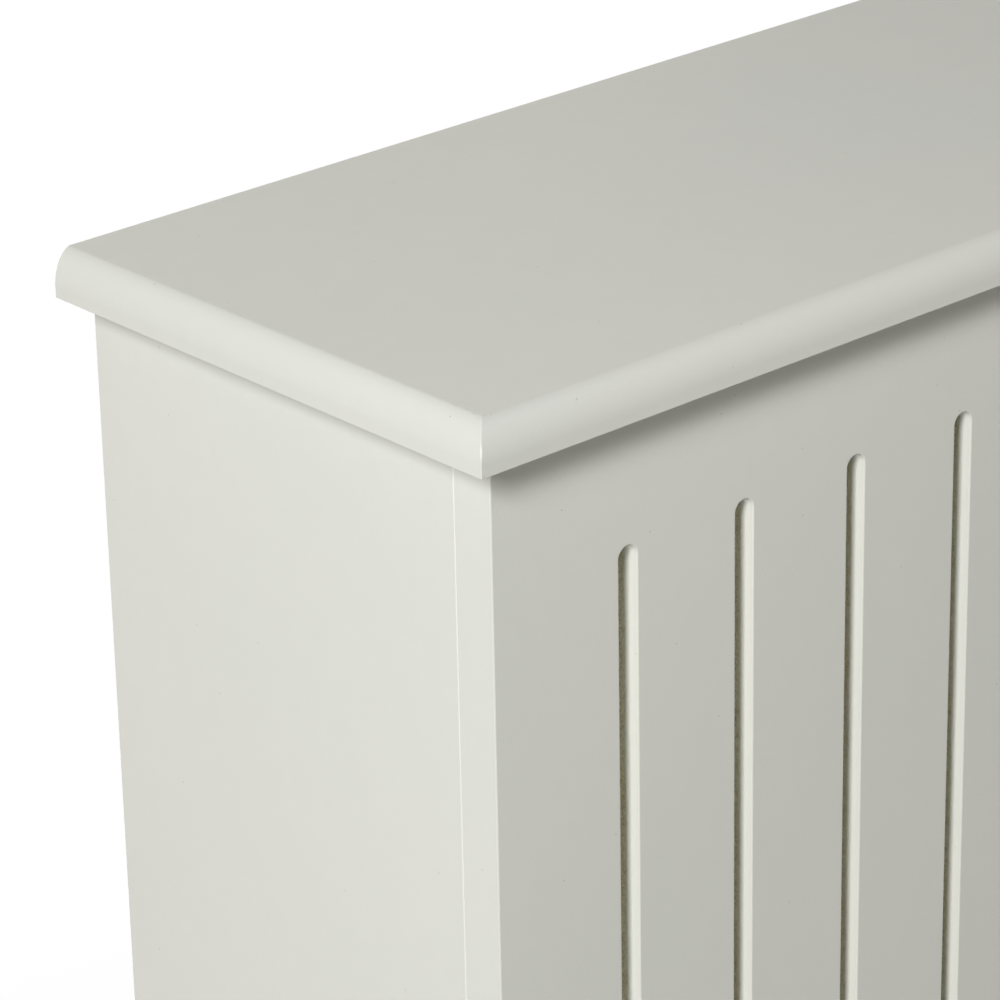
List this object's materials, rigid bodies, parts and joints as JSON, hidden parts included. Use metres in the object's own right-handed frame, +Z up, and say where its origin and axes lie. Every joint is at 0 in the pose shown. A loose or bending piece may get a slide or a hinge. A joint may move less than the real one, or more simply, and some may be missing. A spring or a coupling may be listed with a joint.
{
  "type": "radiator cover cabinet",
  "caption": "Painted flat-pack radiator cover with a moulded shelf, a front panel of vertical slots, plain side panels, cam-lock joints and wall brackets.",
  "frame": {"origin": "on the floor, under the middle of the shelf's width and depth", "axes": "+X to the right seen from the front, +Y to the wall behind, +Z up; the slotted front faces -Y"},
  "size_m": [0.78, 0.19, 0.815],
  "materials": {
    "satin_paint": "warm off-white satin paint sprayed on medium-density fibreboard, thin and fibrous inside the slots",
    "cam_zinc": "die-cast zinc, dull grey",
    "plated_steel": "bright zinc-plated steel",
    "beech": "bare beech"
  },
  "bodies": {
    "cabinet": {"shelf": "satin_paint", "front_panel": "satin_paint", "side_panel_left": "satin_paint", "side_panel_right": "satin_paint", "bolt_front_left_upper": "plated_steel", "bolt_front_left_lower": "plated_steel", "bolt_shelf_left_front": "plated_steel", "bolt_shelf_left_rear": "plated_steel", "bolt_shelf_front_left": "plated_steel", "bolt_front_right_upper": "plated_steel", "bolt_front_right_lower": "plated_steel", "bolt_shelf_right_front": "plated_steel", "bolt_shelf_right_rear": "plated_steel", "bolt_shelf_front_right": "plated_steel", "dowel_front_left_upper": "beech", "dowel_front_left_lower": "beech", "dowel_shelf_left": "beech", "dowel_shelf_front_left": "beech", "dowel_front_right_upper": "beech", "dowel_front_right_lower": "beech", "dowel_shelf_right": "beech", "dowel_shelf_front_right": "beech", "wall_bracket_left": "plated_steel", "bracket_screw_left_1": "plated_steel", "bracket_screw_left_2": "plated_steel", "wall_bracket_right": "plated_steel", "bracket_screw_right_1": "plated_steel", "bracket_screw_right_2": "plated_steel"},
    "cam_front_left_upper": {"cam_front_left_upper": "cam_zinc"},
    "cam_front_left_lower": {"cam_front_left_lower": "cam_zinc"},
    "cam_shelf_left_front": {"cam_shelf_left_front": "cam_zinc"},
    "cam_shelf_left_rear": {"cam_shelf_left_rear": "cam_zinc"},
    "cam_shelf_front_left": {"cam_shelf_front_left": "cam_zinc"},
    "cam_front_right_upper": {"cam_front_right_upper": "cam_zinc"},
    "cam_front_right_lower": {"cam_front_right_lower": "cam_zinc"},
    "cam_shelf_right_front": {"cam_shelf_right_front": "cam_zinc"},
    "cam_shelf_right_rear": {"cam_shelf_right_rear": "cam_zinc"},
    "cam_shelf_front_right": {"cam_shelf_front_right": "cam_zinc"}
  },
  "joints": [
    {"name": "turn_front_left_upper", "type": "hinge", "parent": "cabinet", "child": "cam_front_left_upper", "pos_m": [-0.3689, -0.0438, 0.72], "axis": [1, 0, 0], "range_deg": [0, 180]},
    {"name": "turn_front_left_lower", "type": "hinge", "parent": "cabinet", "child": "cam_front_left_lower", "pos_m": [-0.3689, -0.0438, 0.13], "axis": [1, 0, 0], "range_deg": [0, 180]},
    {"name": "turn_shelf_left_front", "type": "hinge", "parent": "cabinet", "child": "cam_shelf_left_front", "pos_m": [-0.3689, -0.0278, 0.776], "axis": [1, 0, 0], "range_deg": [0, 180]},
    {"name": "turn_shelf_left_rear", "type": "hinge", "parent": "cabinet", "child": "cam_shelf_left_rear", "pos_m": [-0.3689, 0.06, 0.776], "axis": [1, 0, 0], "range_deg": [0, 180]},
    {"name": "turn_shelf_front_left", "type": "hinge", "parent": "cabinet", "child": "cam_shelf_front_left", "pos_m": [-0.2088, -0.0753, 0.776], "axis": [0, 1, 0], "range_deg": [0, 180]},
    {"name": "turn_front_right_upper", "type": "hinge", "parent": "cabinet", "child": "cam_front_right_upper", "pos_m": [0.3689, -0.0438, 0.72], "axis": [-1, 0, 0], "range_deg": [0, 180]},
    {"name": "turn_front_right_lower", "type": "hinge", "parent": "cabinet", "child": "cam_front_right_lower", "pos_m": [0.3689, -0.0438, 0.13], "axis": [-1, 0, 0], "range_deg": [0, 180]},
    {"name": "turn_shelf_right_front", "type": "hinge", "parent": "cabinet", "child": "cam_shelf_right_front", "pos_m": [0.3689, -0.0278, 0.776], "axis": [-1, 0, 0], "range_deg": [0, 180]},
    {"name": "turn_shelf_right_rear", "type": "hinge", "parent": "cabinet", "child": "cam_shelf_right_rear", "pos_m": [0.3689, 0.06, 0.776], "axis": [-1, 0, 0], "range_deg": [0, 180]},
    {"name": "turn_shelf_front_right", "type": "hinge", "parent": "cabinet", "child": "cam_shelf_front_right", "pos_m": [0.2088, -0.0753, 0.776], "axis": [0, 1, 0], "range_deg": [0, 180]}
  ]
}
